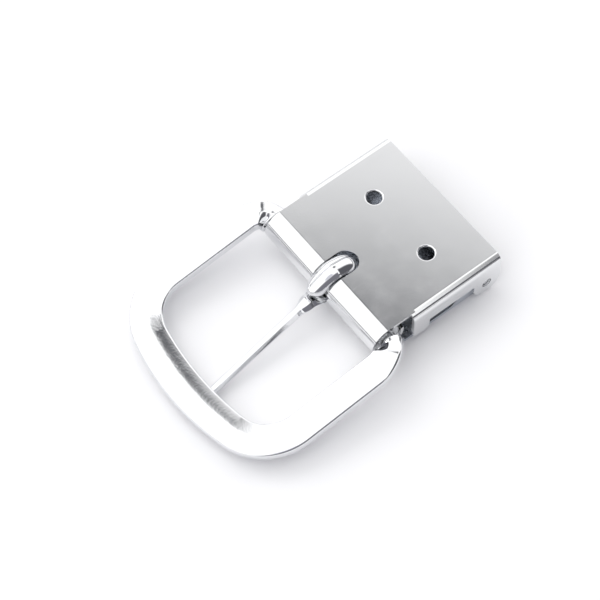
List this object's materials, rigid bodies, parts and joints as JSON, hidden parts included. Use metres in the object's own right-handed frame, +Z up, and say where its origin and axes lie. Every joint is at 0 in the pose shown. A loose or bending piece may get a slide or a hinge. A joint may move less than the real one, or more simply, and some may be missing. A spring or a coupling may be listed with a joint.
{
  "type": "belt buckle",
  "caption": "Prong belt buckle: a rounded frame and loose hook prong on a hinge bar, with a flat sheet clamp whose toothed flap grips the belt end.",
  "frame": {"origin": "middle of the footprint, on the surface that the buckle lies on with its back up", "axes": "+X along the belt, from the frame's far bar to the clamp's open end; +Y across the belt; +Z up, out of the clamp's flat back"},
  "size_m": [0.0694, 0.0504, 0.0114],
  "materials": {
    "frame_plating": "polished",
    "prong_plating": "polished",
    "housing_plating": "polished",
    "flap_plating": "satin",
    "pin_steel": "satin"
  },
  "bodies": {
    "clamp": {"clamp_housing": "housing_plating", "flap_pin": "pin_steel"},
    "frame": {"frame_ring": "frame_plating", "hinge_bar": "pin_steel"},
    "prong": {"prong": "prong_plating"},
    "flap": {"clamp_flap": "flap_plating"}
  },
  "joints": [
    {"name": "frame_swing", "type": "hinge", "parent": "clamp", "child": "frame", "pos_m": [0.00633, 0, 0.006], "axis": [0, 1, 0], "range_deg": [-25, 75]},
    {"name": "prong_swing", "type": "hinge", "parent": "frame", "child": "prong", "pos_m": [0.00633, 0, 0.006], "axis": [0, -1, 0], "range_deg": [0, 80]},
    {"name": "flap_swing", "type": "hinge", "parent": "clamp", "child": "flap", "pos_m": [0.03133, 0, 0.0034], "axis": [0, -1, 0], "range_deg": [0, 100]}
  ]
}
